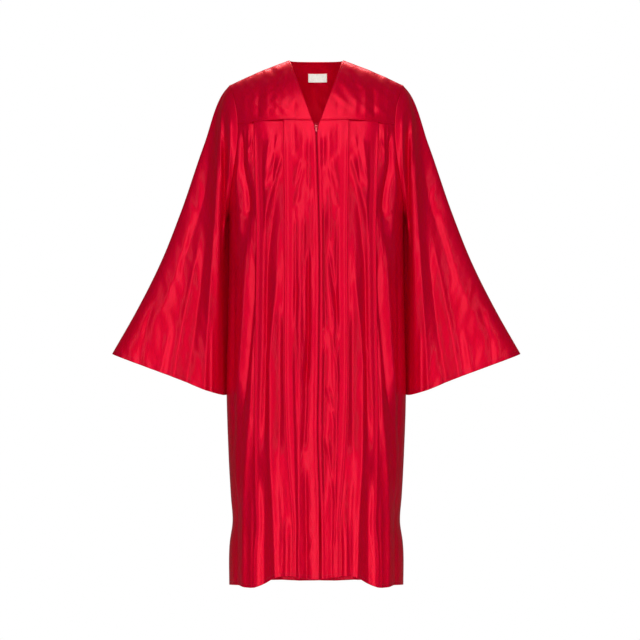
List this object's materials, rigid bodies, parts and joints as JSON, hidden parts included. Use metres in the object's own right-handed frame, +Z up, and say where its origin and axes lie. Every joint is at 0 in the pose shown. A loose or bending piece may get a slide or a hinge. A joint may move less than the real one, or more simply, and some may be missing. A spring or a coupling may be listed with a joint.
{
  "type": "graduation gown",
  "caption": "Long zip-front academic gown with a V neck, yokes, pressed front pleats and wide bell sleeves.",
  "frame": {"origin": "midway between the two shoulder seams, at the height of the wearer's shoulders, where the gown is held", "axes": "+Z up, the front with the zip faces -Y, +X towards the wearer's left"},
  "size_m": [1.0042, 0.3414, 1.3033],
  "materials": {
    "satin": "shiny satin weave",
    "tape": "matt woven tape",
    "label": "soft woven ribbon",
    "zip_metal": "gloss paint"
  },
  "bodies": {
    "gown": {"front_yoke_left": "satin", "front_yoke_right": "satin", "front_left": "satin", "front_right": "satin", "back_yoke": "satin", "back": "satin", "sleeve_left": "satin", "sleeve_right": "satin", "zip_tape": "tape", "neck_label": "label", "zip_slider": "zip_metal"},
    "zip_pull": {"zip_pull_tab": "zip_metal"}
  },
  "joints": [
    {"name": "zip_pull_hinge", "type": "hinge", "parent": "gown", "child": "zip_pull", "pos_m": [0, -0.11757, -0.14426], "axis": [-1, 0, 0], "range_deg": [0, 150]}
  ]
}
